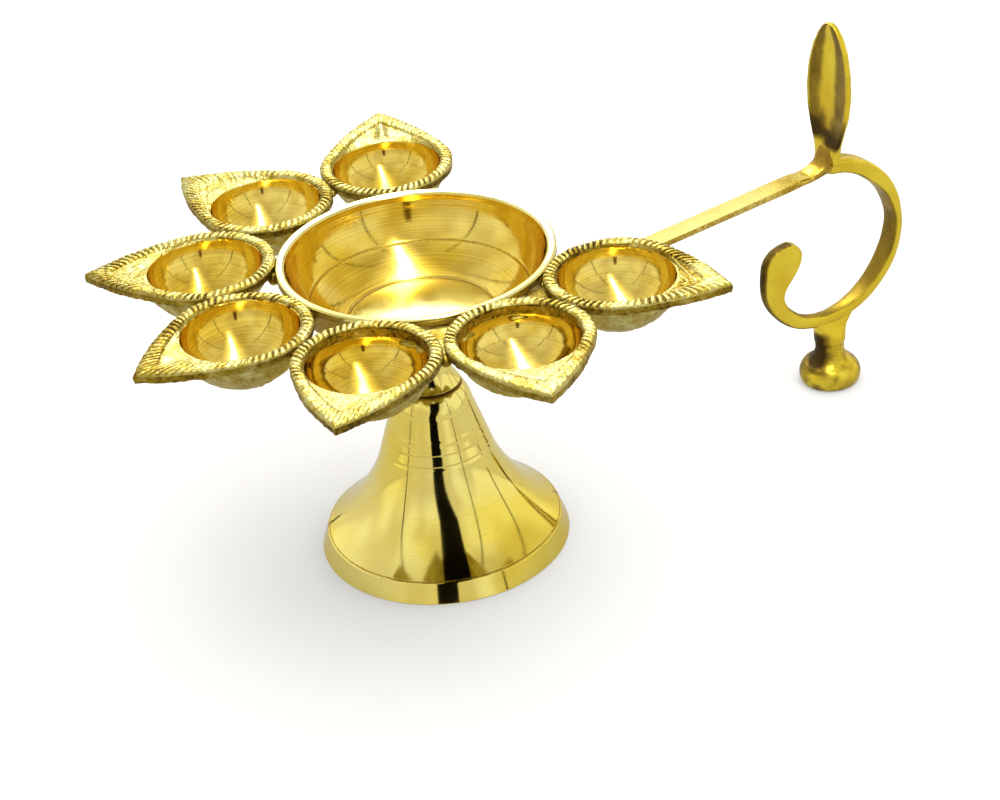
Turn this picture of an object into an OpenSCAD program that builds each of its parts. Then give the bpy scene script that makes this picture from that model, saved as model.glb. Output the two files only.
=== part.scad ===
// Brass aarti lamp: a turned oil bowl ringed by seven leaf-shaped wick cups, on a bell foot, with a
// scrolled side handle. The bowl unscrews from the bell. Millimetres, +Z up, +X along the handle.
// The origin is the centre of the bell's foot ring, on the surface that the lamp stands on.

/* [Bell foot] */
// Outer radius of the bell at the floor
bell_r = 35; // [33:0.5:36]
// Height of the tapered band round the bell's edge
band_h = 5.5; // [4:0.5:7]
// Height of the bell's flat top, where the neck collar sits
bell_top = 49.5; // [48:0.5:52]
// Outer radius of the bell at its top
bell_top_r = 8.6; // [8:0.1:9]
// Wall thickness of the bell
bell_wall = 1.8; // [1.4:0.1:2.4]

/* [Centre stud and collar] */
// Radius of the threaded stud
stud_r = 4; // [3.5:0.1:4.2]
// Length of thread inside the bell's top: six turns of 1.25 pitch
thread_engaged = 7.5; // [5:0.25:9]
// Radial play between the stud and the bores it turns in
stud_play = 0.08; // [0.05:0.01:0.1]
// Height of the neck collar
collar_h = 12; // [11:0.5:13]
// Radius of the collar's waist
collar_waist_r = 5.6; // [5.2:0.1:6]

/* [Oil bowl] */
// Outer radius of the bowl's rim
bowl_r = 37.2; // [36:0.1:38]
// Height of the rim above the floor
rim_z = 89.6; // [88:0.2:91]
// Width of the flat rim
rim_w = 2.9; // [2.4:0.1:3.4]
// Depth of the bowl inside
bowl_depth = 18.2; // [17:0.2:19]
// Radius of the bowl's flat floor
bowl_floor_r = 20.5; // [19:0.5:22]
// Radius of the boss under the bowl
boss_r = 7; // [6.5:0.1:7.5]

/* [Wick cups] */
// Angle between one cup and the next
cup_pitch = 39.8; // [39.8:0.1:41]
// Angle of the first cup from the handle
cup_first = 69.5; // [60:0.5:75]
// Distance of a cup's centre from the lamp's axis
cup_ring_r = 56; // [55.8:0.1:58]
// Outer radius of a leaf's round end
leaf_r = 19; // [18:0.1:19]
// Distance from a cup's centre to its leaf's tip
leaf_tip = 32; // [29:0.2:33]
// Thickness of the leaf's rim plate
leaf_t = 3.2; // [2.6:0.2:3.6]
// Radius of the turned hollow of a cup
hollow_r = 15.6; // [15:0.1:15.7]
// Wall thickness of a cup
cup_wall = 2; // [1.4:0.1:2.4]
// Depth of the turned hollow below the leaf's top
hollow_depth = 13.5; // [11.5:0.5:13.5]

/* [Handle] */
// Width of the flat handle bar
bar_w = 7; // [6:0.5:8]
// Thickness of the bar
bar_t = 2; // [1.6:0.1:2.4]
// Rise of the bar from its eye to its outer end
bar_rise = 9.1; // [8:0.1:10]
// Distance from the lamp's axis to the end of the bar
bar_end = 139; // [137:0.5:140]
// Height of the thumb leaf above the bar
thumb_h = 40.8; // [36:0.2:44]
// Widest half-width of the thumb leaf
thumb_half_w = 9.2; // [8:0.2:10]
// Thickness of the thumb leaf's blank
thumb_t = 3; // [2.8:0.1:3.4]
// Width of the scroll at its foot and tail
tail_w = 3.8; // [3:0.2:5]
// Radius of the round foot under the scroll
foot_r = 9.6; // [8:0.2:10]

/* [Hidden] */
$fn = 96;
fit_gap = 0.05;
big = 400;

// The leaves are hand-finished castings, brazed on by eye: for each, the lean of its tip about its own
// cup and the upward tilt of its tip, in degrees, and the extra length of its tip
cup_lean = [-4, 3.5, 1.2, 0, 0.1, -15.5, 0.5];
cup_tilt = [2, 0, 0, 0, 0, 0, 0];
tip_extra = [0.7, 0.3, 0.2, -0.3, 0.1, -1, -1.4];
cup_count = len(cup_lean);

collar_z = bell_top + fit_gap;
eye_z = bell_top + collar_h;
boss_z = eye_z + bar_t;
floor_z = rim_z - bowl_depth;
bowl_wall = 2.2;
stud_z0 = bell_top - thread_engaged;
stud_z1 = boss_z + 4;
bell_boss_z = stud_z0 - 5;
leaf_top = rim_z + 0.9;
hollow_z = leaf_top - hollow_depth + hollow_r;
rim_rope_w = 3.3;
recess_d = 1.6;

flare_top = [15.4, 30];
shoulder = [11.2, 43.5];
groove_z = [31, 34];

scroll_x = 134.5;
scroll_z = 47;
foot_x = 136;
foot_top = 17.5;
// Rounds that swell the scroll's tail: x, z and radius
scroll_lobe = [[115.6, 41.2, 4.1], [118, 44.6, 6.5], [120.4, 46.4, 5]];
thumb_x = 134.4;
thumb_z = eye_z + bar_t + bar_rise + 2.7;

// Scroll edges: angle clockwise from the top, outer radius, inner radius
scroll_stations = [
    [0, 27.6, 23.4], [40, 27.3, 22.2], [90, 27, 24.3], [135, 26.9, 23.3], [180, 27.2, 23.4],
    [205, 27.5, 23], [225, 26.7, 21.5], [240, 26, 19.8], [256, 24.2, 17.4]
];

// Points of the arc from p to q whose middle stands off the chord by sag, to the left of p to q
function bend(p, q, sag, n = 12) =
    let (
        c = q - p,
        len = norm(c),
        along = c / len,
        left = [-along[1], along[0]],
        r = (len * len / 4 + sag * sag) / (2 * sag),
        centre = (p + q) / 2 + left * (sag - r),
        half = asin(len / (2 * r))
    )
    [for (i = [0:n]) let (a = half * (2 * i / n - 1)) centre + r * (left * cos(a) + along * sin(a))];

// Value of column k of the scroll's stations at angle a
function station(a, k) = lookup(a, [for (s = scroll_stations) [s[0], s[k]]]);

// Point at angle a, clockwise from the top, and radius r about the scroll's centre
function on_scroll(a, r) = [scroll_x + r * sin(a), scroll_z + r * cos(a)];

// Radius of the bell's straight cone, between its flare and its shoulder, at height z
function cone_r(z) =
    flare_top[0] + (shoulder[0] - flare_top[0]) * (z - flare_top[1]) / (shoulder[1] - flare_top[1]);

module lathe(outline) {
    rotate_extrude()
        polygon(outline);
}

// A plate whose outline lies in the vertical plane of the handle
module side_plate(width) {
    rotate([90, 0, 0])
        linear_extrude(height = width, center = true)
            children();
}

module bell_base() {
    band_in = bell_r - 2.4;
    groove_d = 0.3;
    color("khaki")
        lathe(concat(
            [[bell_r - bell_wall, 0], [bell_r, 0], [bell_r - 2, band_h], [band_in, band_h + 0.2]],
            bend([band_in, band_h + 0.2], flare_top, 2.4, 20),
            [for (z = groove_z, k = [-1, 0, 1]) [cone_r(z) - (k == 0 ? groove_d : 0), z + k * groove_d]],
            bend(shoulder, [bell_top_r, bell_top], -0.4, 6),
            [[stud_r + stud_play, bell_top], [stud_r + stud_play, bell_boss_z], [9, bell_boss_z - 2]],
            bend([flare_top[0] - bell_wall, 29], [bell_r - bell_wall, 0.6], -2.6, 20)
        ));
}

module neck_collar() {
    flange_r = 7;
    foot_edge = 0.4;
    color("khaki")
        lathe(concat(
            [[stud_r + stud_play, collar_z], [bell_top_r - foot_edge, collar_z]],
            bend([bell_top_r, collar_z + foot_edge], [collar_waist_r, collar_z + collar_h * 0.7], 0.7, 10),
            [[flange_r, eye_z - 1.6], [flange_r, eye_z - fit_gap], [stud_r + stud_play, eye_z - fit_gap]]
        ));
}

module centre_stud() {
    chamfer = 0.8;
    color("goldenrod")
        lathe([
            [0, stud_z0], [stud_r - chamfer, stud_z0], [stud_r, stud_z0 + chamfer],
            [stud_r, stud_z1], [0, stud_z1]
        ]);
}

module central_bowl() {
    lip_z = rim_z - 0.6;
    color("gold")
        lathe(concat(
            [[0, floor_z - 0.4], [bowl_floor_r - 1, floor_z - 0.4]],
            bend([bowl_floor_r, floor_z], [bowl_r - rim_w, lip_z], -2.4, 16),
            [[bowl_r - 0.3, rim_z], [bowl_r, rim_z - 0.3], [bowl_r, rim_z - 2.2]],
            bend([bowl_r - 0.6, rim_z - 3], [bowl_floor_r, floor_z - bowl_wall], 2.8, 16),
            [
                [boss_r, floor_z - bowl_wall - 0.6], [boss_r, boss_z], [stud_r + fit_gap / 2, boss_z],
                [stud_r + fit_gap / 2, stud_z1 + fit_gap], [0, stud_z1 + fit_gap]
            ]
        ));
}

// A round end of radius r drawn out, along gently bowed flanks, to a blunt tip at distance tip
module leaf_outline(r, tip) {
    blunt = 0.8;
    spring = 70;
    bow = r / 12;
    flank = bend([tip - blunt, blunt], r * [cos(spring), sin(spring)], -bow, 10);
    circle(r = r);
    polygon(concat(
        flank, [[0, 0]], [for (k = [len(flank) - 1:-1:0]) [flank[k][0], -flank[k][1]]], [[tip, 0]]
    ));
}

module wick_cup(i) {
    tip = leaf_tip + tip_extra[i];
    spout = tip - rim_rope_w * 1.5;
    // Heights below are from the leaf's top face, about which it tilts
    ball_z = hollow_z - leaf_top;
    color("darkgoldenrod")
        difference() {
            rotate([0, 0, cup_first + i * cup_pitch])
                translate([cup_ring_r, 0, leaf_top])
                    rotate([0, -cup_tilt[i], cup_lean[i]])
                        difference() {
                            union() {
                                translate([0, 0, -leaf_t])
                                    linear_extrude(height = leaf_t)
                                        leaf_outline(leaf_r, tip);
                                intersection() {
                                    translate([0, 0, ball_z])
                                        sphere(r = hollow_r + cup_wall);
                                    translate([0, 0, ball_z - 2 * hollow_r])
                                        cylinder(r = leaf_r, h = 2 * hollow_r - ball_z - leaf_t / 2);
                                }
                            }
                            translate([0, 0, ball_z])
                                sphere(r = hollow_r);
                            translate([0, 0, -recess_d])
                                linear_extrude(height = leaf_t)
                                    leaf_outline(leaf_r - rim_rope_w, spout);
                        }
            cylinder(r = bowl_r + fit_gap, h = big);
        }
}

module handle_bar() {
    eye_r = 7.5;
    flat = 10;
    end_z = eye_z + bar_rise;
    root_x = bar_end - 6;
    root_top = thumb_z;
    color("khaki")
        difference() {
            union() {
                side_plate(bar_w)
                    polygon(concat(
                        [[0, eye_z], [flat, eye_z], [root_x, end_z], [bar_end, end_z], [bar_end, root_top]],
                        bend([root_x + 0.6, root_top], [root_x - 9, end_z + bar_t - 0.7], 0.9, 8),
                        [[flat, boss_z], [0, boss_z]]
                    ));
                translate([0, 0, eye_z])
                    cylinder(r = eye_r, h = bar_t);
            }
            cylinder(r = stud_r + fit_gap / 2, h = big);
        }
}

module thumb_leaf() {
    root_half_w = 3.5;
    widest = 20;
    tip_half_w = 0.8;
    lean = 3;
    channel_r = 15;
    channel_d = 1.3;
    side = concat(
        bend([root_half_w, 0], [thumb_half_w, widest], -0.9, 8),
        bend([thumb_half_w, widest], [tip_half_w, thumb_h], -2.2, 10)
    );
    color("goldenrod")
        intersection() {
            translate([thumb_x, 0, thumb_z - 0.2])
                rotate([0, lean, 0])
                    difference() {
                        rotate([90, 0, 90])
                            linear_extrude(height = thumb_t)
                                polygon(concat(side, [for (k = [len(side) - 1:-1:0]) [-side[k][0], side[k][1]]]));
                        translate([channel_d - channel_r, 0, 3])
                            cylinder(r = channel_r, h = thumb_h);
                    }
            translate([0, -big / 2, thumb_z])
                cube(big);
        }
}

module scroll_outline(from, to) {
    step = 4;
    n = ceil((to - from) / step);
    angles = [for (i = [0:n]) from + (to - from) * i / n];
    polygon(concat(
        [for (a = angles) on_scroll(a, station(a, 1))],
        [for (i = [n:-1:0]) on_scroll(angles[i], station(angles[i], 2))]
    ));
}

module handle_scroll() {
    split = 120;
    tail = 256;
    taper_x0 = 131;
    taper_x1 = 158;
    color("goldenrod") {
        intersection() {
            side_plate(bar_w)
                scroll_outline(0, split);
            translate([bar_end, -big / 2, 0])
                cube(big);
        }
        intersection() {
            side_plate(bar_w)
                union() {
                    scroll_outline(split, tail);
                    for (end = scroll_lobe)
                        translate([end[0], end[1]])
                            circle(r = end[2]);
                    polygon([
                        [foot_x - 5, foot_top], [foot_x + 5, foot_top],
                        [foot_x + 7.5, foot_top + 4.5], [foot_x - 9.5, foot_top + 4.5]
                    ]);
                }
            linear_extrude(height = big)
                polygon([
                    [0, -tail_w / 2], [taper_x0, -tail_w / 2], [taper_x1, -bar_w / 2], [big, -bar_w / 2],
                    [big, bar_w / 2], [taper_x1, bar_w / 2], [taper_x0, tail_w / 2], [0, tail_w / 2]
                ]);
        }
    }
}

module scroll_foot() {
    neck_r = 4.5;
    color("darkgoldenrod")
        translate([foot_x, 0, 0])
            lathe(concat(
                [[0, 0], [foot_r - 1, 0]],
                bend([foot_r - 1, 0], [foot_r - 1.2, 6], -1.2, 8),
                bend([foot_r - 1.2, 6], [neck_r, 12.5], 1, 8),
                [[neck_r + 0.7, foot_top], [0, foot_top]]
            ));
}

bell_base();
neck_collar();
centre_stud();
central_bowl();
for (i = [0:cup_count - 1])
    wick_cup(i);
handle_bar();
thumb_leaf();
handle_scroll();
scroll_foot();
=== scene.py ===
"""Looks of the brass aarti lamp: camera, detailed meshes, procedural brass and studio.

Profiles and grids are in millimetres, and Shell.build turns them into metres. The studio is in metres, and
its azimuths are degrees from the camera's side, counted to the camera's right.
"""

import math

import bmesh
import bpy
import numpy as np
from mathutils import Matrix, Vector


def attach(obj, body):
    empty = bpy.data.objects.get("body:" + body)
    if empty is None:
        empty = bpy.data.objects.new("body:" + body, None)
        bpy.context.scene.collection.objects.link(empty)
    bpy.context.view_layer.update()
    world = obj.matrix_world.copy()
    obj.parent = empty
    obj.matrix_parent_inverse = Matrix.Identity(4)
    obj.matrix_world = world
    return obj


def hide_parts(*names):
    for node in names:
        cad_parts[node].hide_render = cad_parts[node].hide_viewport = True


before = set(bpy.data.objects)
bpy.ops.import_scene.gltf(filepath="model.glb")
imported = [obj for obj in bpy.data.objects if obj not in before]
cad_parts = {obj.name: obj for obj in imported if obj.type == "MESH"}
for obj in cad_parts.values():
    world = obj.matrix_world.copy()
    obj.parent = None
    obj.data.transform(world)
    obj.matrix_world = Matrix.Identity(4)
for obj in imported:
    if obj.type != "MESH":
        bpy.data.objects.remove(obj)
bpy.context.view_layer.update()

MM = 0.001
TAU = 2 * math.pi

# ---------------------------------------------------------------- camera
CAMERA_AT = Vector((-0.23681, -0.48553, 0.36849))
AIM_AT = Vector((0.01278, -0.01556, 0.04628))
CAMERA_ROLL = math.radians(5.361)
LENS, SENSOR = 82.9, 36.0
# the side of the lamp that the camera stands on
CAMERA_AZ = math.radians(-116)

camera = bpy.data.objects.new("camera", bpy.data.cameras.new("camera"))
bpy.context.scene.collection.objects.link(camera)
camera.data.lens = LENS
camera.data.sensor_width = SENSOR
camera.data.clip_start = 0.01
level_view = (AIM_AT - CAMERA_AT).to_track_quat("-Z", "Y").to_matrix()
rolled_view = level_view @ Matrix.Rotation(-CAMERA_ROLL, 3, "Z")
camera.matrix_world = Matrix.Translation(CAMERA_AT) @ rolled_view.to_4x4()
bpy.context.scene.camera = camera


# ---------------------------------------------------------------- profiles and grids
def bend(p, q, sag, n=12):
    """Points of the arc from p to q whose middle stands off the chord by sag, to the left of p to q."""
    p, q = np.array(p, float), np.array(q, float)
    length = np.linalg.norm(q - p)
    along = (q - p) / length
    left = np.array([-along[1], along[0]])
    r = (length * length / 4 + sag * sag) / (2 * sag)
    centre = (p + q) / 2 + left * (sag - r)
    turn = math.asin(length / (2 * r)) * np.linspace(-1, 1, n + 1)[:, None]
    return centre + r * (left * np.cos(turn) + along * np.sin(turn))


def chain(*parts):
    """One polyline of points and polylines."""
    return np.concatenate([np.atleast_2d(np.array(p, float)) for p in parts])


# a turn of the polyline of less than this, in radians, is not a corner
SOFT_TURN = 0.35


def soften(points, radius, steps=3):
    """Rounds each corner of an open polyline, with a support point on either side."""
    out = [points[0]]
    for before, p, after in zip(points, points[1:], points[2:]):
        a, b = before - p, after - p
        la, lb = np.linalg.norm(a), np.linalg.norm(b)
        a, b = a / la, b / lb
        if math.pi - math.acos(max(-1, min(1, a @ b))) < SOFT_TURN:
            out.append(p)
            continue
        r = min(radius, 0.4 * la, 0.4 * lb)
        out.append(p + a * min(1.7 * r, 0.48 * la))
        for t in np.linspace(0, 1, steps + 1):
            out.append((1 - t) ** 2 * (p + a * r) + 2 * t * (1 - t) * p + t * t * (p + b * r))
        out.append(p + b * min(1.7 * r, 0.48 * lb))
    return np.array(out + [points[-1]])


def dense(points, step):
    """The same polyline, with no segment longer than step."""
    out = [points[:1]]
    for p, q in zip(points, points[1:]):
        n = max(1, math.ceil(np.linalg.norm(q - p) / step))
        out.append(p + (q - p) * (np.arange(1, n + 1) / n)[:, None])
    return np.concatenate(out)


def arc_length(points):
    """Length along the polyline up to each of its points."""
    return np.concatenate([[0], np.cumsum(np.linalg.norm(np.diff(points, axis=0), axis=1))])


def lattice(i, j, k, seed):
    """A fixed pseudo-random value in -1..1 at each lattice point, hashed from whole numbers."""
    h = (i * 374761393 + j * 668265263 + k * 1440662683 + seed * 974634777) & 0xFFFFFFFF
    h = ((h ^ (h >> 13)) * 1274126177) & 0xFFFFFFFF
    return ((h ^ (h >> 16)) & 0xFFFFFF) / 0x7FFFFF - 1.0


def noise(points, size, seed, octaves=1):
    """Smooth noise in about -1..1 at points, with features of about size, each octave half the last."""
    total, amount = 0.0, 1.0
    for octave in range(octaves):
        p = np.asarray(points) / size * 2**octave
        base = np.floor(p).astype(np.int64)
        f = p - base
        f = f * f * (3 - 2 * f)
        value = 0.0
        for corner in range(8):
            d = np.array([corner & 1, corner >> 1 & 1, corner >> 2])
            w = np.prod(np.where(d, f, 1 - f), axis=-1)
            value = value + w * lattice(*np.moveaxis(base + d, -1, 0), seed + octave)
        total, amount = total + amount * value, amount * 0.5
    return total


def smoothstep(low, high, x):
    """0 at low, 1 at high, and smooth between them. low may be above high."""
    t = np.clip((x - low) / (high - low), 0, 1)
    return t * t * (3 - 2 * t)


def grid_normals(grid):
    """Unit normals of a grid of points whose columns run round."""
    across = np.roll(grid, -1, 1) - np.roll(grid, 1, 1)
    along = np.gradient(grid, axis=0)
    n = np.cross(across, along)
    return n / np.maximum(np.linalg.norm(n, axis=-1, keepdims=True), 1e-9)


def sheath(grid, wrap_rows=False):
    """Quads of a grid [row, column, xyz] whose columns close round, and whose rows may too."""
    rows, cols = grid.shape[:2]
    r = np.arange(rows if wrap_rows else rows - 1)[:, None] * cols
    c = np.arange(cols)[None, :]
    r2, c2 = (r + cols) % (rows * cols), (c + 1) % cols
    return np.stack([r + c, r + c2, r2 + c2, r2 + c], -1).reshape(-1, 4)


class Shell:
    """Collects grids into one mesh, with values at each point for the materials: how much patina and painted
    shade there is, the place along the turned profile, and the direction across the turning marks."""

    KEYS = {"patina": 1, "ring": 1, "turn": 3}
    WELD = 2e-6

    def __init__(self):
        self.points, self.faces, self.slots, self.n = [], [], [], 0
        self.values = {k: [] for k in self.KEYS}

    def add(self, grid, wrap_rows=False, slot=0, **values):
        faces = sheath(grid, wrap_rows) + self.n
        self.points.append(grid.reshape(-1, 3))
        self.faces.append(faces)
        per_row = np.broadcast_to(np.asarray(slot).reshape(-1, 1), grid.shape[:2])
        self.slots.append(per_row[: len(faces) // grid.shape[1]].reshape(-1))
        count = grid.shape[0] * grid.shape[1]
        self.n += count
        for key, width in self.KEYS.items():
            v = np.asarray(values.get(key, 0.0), float)
            if width == 1:
                v = v.reshape(-1, 1) if v.ndim == 1 else v
                v = np.broadcast_to(v, grid.shape[:2]).reshape(-1)
            else:
                v = np.broadcast_to(v, (*grid.shape[:2], 3)).reshape(-1, 3)
            assert len(v) == count
            self.values[key].append(v)

    def build(self, name, body, node, slot, *materials):
        mesh = bpy.data.meshes.new(name)
        mesh.from_pydata(np.concatenate(self.points) * MM, [], np.concatenate(self.faces).tolist())
        for key, width in self.KEYS.items():
            data = np.concatenate(self.values[key]).astype(np.float32)
            kind, field = ("FLOAT", "value") if width == 1 else ("FLOAT_VECTOR", "vector")
            mesh.attributes.new(key, kind, "POINT").data.foreach_set(field, data.ravel())
        mesh.polygons.foreach_set("material_index", np.concatenate(self.slots).astype(np.int32))
        bm = bmesh.new()
        bm.from_mesh(mesh)
        bmesh.ops.remove_doubles(bm, verts=bm.verts, dist=self.WELD)
        bmesh.ops.recalc_face_normals(bm, faces=bm.faces)
        bm.to_mesh(mesh)
        bm.free()
        mesh.polygons.foreach_set("use_smooth", np.ones(len(mesh.polygons), bool))
        for m in materials:
            mesh.materials.append(m)
        made = bpy.data.objects.new(name, mesh)
        bpy.context.scene.collection.objects.link(made)
        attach(made, body)
        if node:
            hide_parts(node)


def lathe(profile, cols):
    """Grid of a profile [(r, z), ...] turned about Z."""
    a = np.arange(cols) * TAU / cols
    r, z = profile[:, :1], profile[:, 1:]
    return np.stack([r * np.cos(a), r * np.sin(a), z + 0 * a], -1)


def spin(grid, centre=(0, 0)):
    """Unit vectors from the turning axis out through each point, which the turning marks run across."""
    out = grid - np.array([centre[0], centre[1], 0])
    out = out * [1, 1, 0]
    return out / np.maximum(np.linalg.norm(out, axis=-1, keepdims=True), 1e-6)


# ---------------------------------------------------------------- materials
def node(tree, kind, inputs=(), **settings):
    """A new shader node. inputs is {socket: value or another node's output}."""
    made = tree.nodes.new("ShaderNode" + kind)
    for key, value in settings.items():
        setattr(made, key, value)
    for key, value in dict(inputs).items():
        if isinstance(value, bpy.types.NodeSocket):
            tree.links.new(value, made.inputs[key])
        else:
            made.inputs[key].default_value = value
    return made


def ranged(tree, value, low, high, to_low=0.0, to_high=1.0):
    """Smooth step of value from to_low, at low, to to_high, at high."""
    sockets = {0: value, 1: low, 2: high, 3: to_low, 4: to_high}
    return node(tree, "MapRange", sockets, interpolation_type="SMOOTHSTEP").outputs[0]


def mixed(tree, factor, a, b):
    """Colour between a and b."""
    return node(tree, "Mix", {0: factor, 6: a, 7: b}, data_type="RGBA").outputs[2]


def maths(tree, operation, *values):
    """Result of a Math node."""
    return node(tree, "Math", dict(enumerate(values)), operation=operation).outputs[0]


def cloudy(tree, place, scale, detail, roughness=0.5):
    """Noise texture in about 0..1."""
    sockets = {"Vector": place, "Scale": scale, "Detail": detail, "Roughness": roughness}
    return node(tree, "TexNoise", sockets).outputs[0]


def attribute(tree, name, output="Fac"):
    """A value that the mesh holds at each point."""
    return node(tree, "Attribute", attribute_name=name).outputs[output]


# the dark end of patina and of painted shade
TARNISH_AND_SHADE = (0.045, 0.028, 0.010, 1)
# the brown that turning marks and the pits between them take
MARK_TONE = (0.42, 0.23, 0.015, 1)
FINE_MARKS, SPECKS = 1300.0, 420.0


def brass(
    name, light, deep, polish, tone=45.0, grain=None, rings=None, anisotropic=0.0, tarnish_and_shade=0.5, speck=0.0,
    lines=0.0, honey=(0.42, 0.26, 0.02), ragged=0.9,
):
    """Brass between two tones and polish's two roughnesses, with patina and painted shade where the mesh
    says, and tool marks.

    tone is how many blotches there are to a metre. The patina and painted shade start as honey and end near
    black, as far as tarnish_and_shade says, and ragged says how broken their edge is. speck is the strength
    of the dark dots. grain is (bumps to a metre, depth in metres). rings is (marks to a millimetre of
    profile, depth in metres). lines is how much darker the turning marks are.
    """
    material = bpy.data.materials.new(name)
    material.use_nodes = True
    tree = material.node_tree
    tree.nodes.clear()
    place = node(tree, "TexCoord").outputs["Object"]
    cloud = cloudy(tree, place, tone, 4.0, 0.6)
    fine = cloudy(tree, place, FINE_MARKS, 3.0, 0.65)
    colour = mixed(tree, ranged(tree, cloud, 0.35, 0.68), (*light, 1), (*deep, 1))
    # patina and painted shade, with a broken edge: first a dull honey, then dark
    rough_edge = maths(tree, "SUBTRACT", fine, 0.5)
    depth = maths(tree, "MULTIPLY_ADD", rough_edge, ragged, attribute(tree, "patina"))
    dulled = ranged(tree, depth, 0.10, 0.60)
    colour = mixed(tree, dulled, colour, (*honey, 1))
    mask = ranged(tree, depth, 0.50, 1.0, 0.0, tarnish_and_shade)
    if speck:
        dots = ranged(tree, cloudy(tree, place, SPECKS, 5.0, 0.7), 0.66, 0.74, 0.0, speck)
        mask = maths(tree, "MAXIMUM", mask, dots)
    colour = mixed(tree, mask, colour, TARNISH_AND_SHADE)
    if rings:
        sockets = {"W": attribute(tree, "ring"), "Scale": rings[0], "Detail": 3.0, "Roughness": 0.7}
        marks = node(tree, "TexNoise", sockets, noise_dimensions="1D").outputs[0]
        patchy = ranged(tree, cloud, 0.3, 0.7, 0.35 * lines, lines)
        line = maths(tree, "MULTIPLY", ranged(tree, marks, 0.60, 0.42), patchy)
        colour = mixed(tree, line, colour, MARK_TONE)
    # patina, tarnish and painted shade are duller than the metal
    rough = ranged(tree, cloudy(tree, place, tone * 3, 5.0), 0.3, 0.7, *polish)
    rough = node(tree, "Mix", {0: dulled, 2: rough, 3: max(0.30, polish[1])}).outputs[0]
    rough = node(tree, "Mix", {0: mask, 2: rough, 3: 0.6}).outputs[0]
    shader = node(tree, "BsdfPrincipled", {"Base Color": colour, "Roughness": rough, "Metallic": 1.0})
    height = None
    if grain:
        coarse = cloudy(tree, place, grain[0], 4.0, 0.6)
        height = node(tree, "Bump", {"Height": coarse, "Distance": grain[1], "Strength": 1.0})
    if rings:
        inner = {"Normal": height.outputs[0]} if height else {}
        height = node(tree, "Bump", {"Height": marks, "Distance": rings[1], "Strength": 1.0, **inner})
    if height:
        tree.links.new(height.outputs[0], shader.inputs["Normal"])
    if anisotropic:
        shader.inputs["Anisotropic"].default_value = anisotropic
        turn = attribute(tree, "turn", "Vector")
        spaces = {"vector_type": "VECTOR", "convert_from": "OBJECT", "convert_to": "WORLD"}
        turn = node(tree, "VectorTransform", {0: turn}, **spaces)
        tree.links.new(turn.outputs[0], shader.inputs["Tangent"])
    node(tree, "OutputMaterial", {"Surface": shader.outputs[0]})
    return material


# buffed bright: bell, collar and bar
POLISHED = brass(
    "polished_brass", (0.88, 0.77, 0.24), (0.85, 0.67, 0.08), (0.05, 0.11), tone=24, rings=(2.2, 4e-6),
    speck=0.25, lines=0.12, honey=(0.40, 0.25, 0.03),
)
# turned: the bowl's wall and the cups' hollows
TURNED = brass(
    "turned_brass", (0.88, 0.70, 0.17), (0.82, 0.57, 0.05), (0.08, 0.13), rings=(2.6, 5e-6), anisotropic=0.6,
    lines=0.42,
)
# turned and then buffed: the bowl's floor and rim
BUFFED = brass(
    "buffed_brass", (0.86, 0.79, 0.34), (0.82, 0.72, 0.24), (0.09, 0.16), tone=32, rings=(2.4, 4e-6),
    speck=0.2, lines=0.12,
)
# machined: the stud
PLAIN = brass("plain_brass", (0.74, 0.60, 0.22), (0.62, 0.47, 0.15), (0.28, 0.40), grain=(1500, 8e-6))
# filed casting: leaf, scroll and foot
SATIN = brass(
    "satin_cast_brass", (0.86, 0.69, 0.06), (0.74, 0.54, 0.035), (0.24, 0.36), tone=60, grain=(900, 3e-5),
    tarnish_and_shade=0.9, speck=0.3, honey=(0.30, 0.20, 0.022), ragged=0.35,
)
# sand-cast skin: cups and brazing
ROUGH = brass(
    "rough_cast_brass", (0.60, 0.55, 0.21), (0.44, 0.35, 0.06), (0.32, 0.48), tone=330, grain=(1300, 1.5e-4),
    tarnish_and_shade=0.92, speck=0.8, honey=(0.34, 0.23, 0.016), ragged=0.9,
)
# unpolished undersides of bell and bowl
RAW = brass(
    "raw_brass", (0.56, 0.43, 0.13), (0.40, 0.29, 0.08), (0.38, 0.55), tone=90, grain=(1100, 5e-5),
    tarnish_and_shade=0.8, speck=0.5,
)


# ---------------------------------------------------------------- bell
BELL_TOP, BELL_TOP_R = 49.5, 8.6
# the flare of the bell ends in a cone between these heights
CONE_LOW, CONE_HIGH = 30.0, 43.5
CONE_LOW_R, CONE_HIGH_R = 15.4, 11.2
BAND_TOP = 5.8
STUD_R, STUD_PLAY = 4.0, 0.08
BORE = STUD_R + STUD_PLAY


def cone_r(z):
    return CONE_LOW_R + (CONE_HIGH_R - CONE_LOW_R) * (z - CONE_LOW) / (CONE_HIGH - CONE_LOW)


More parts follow.
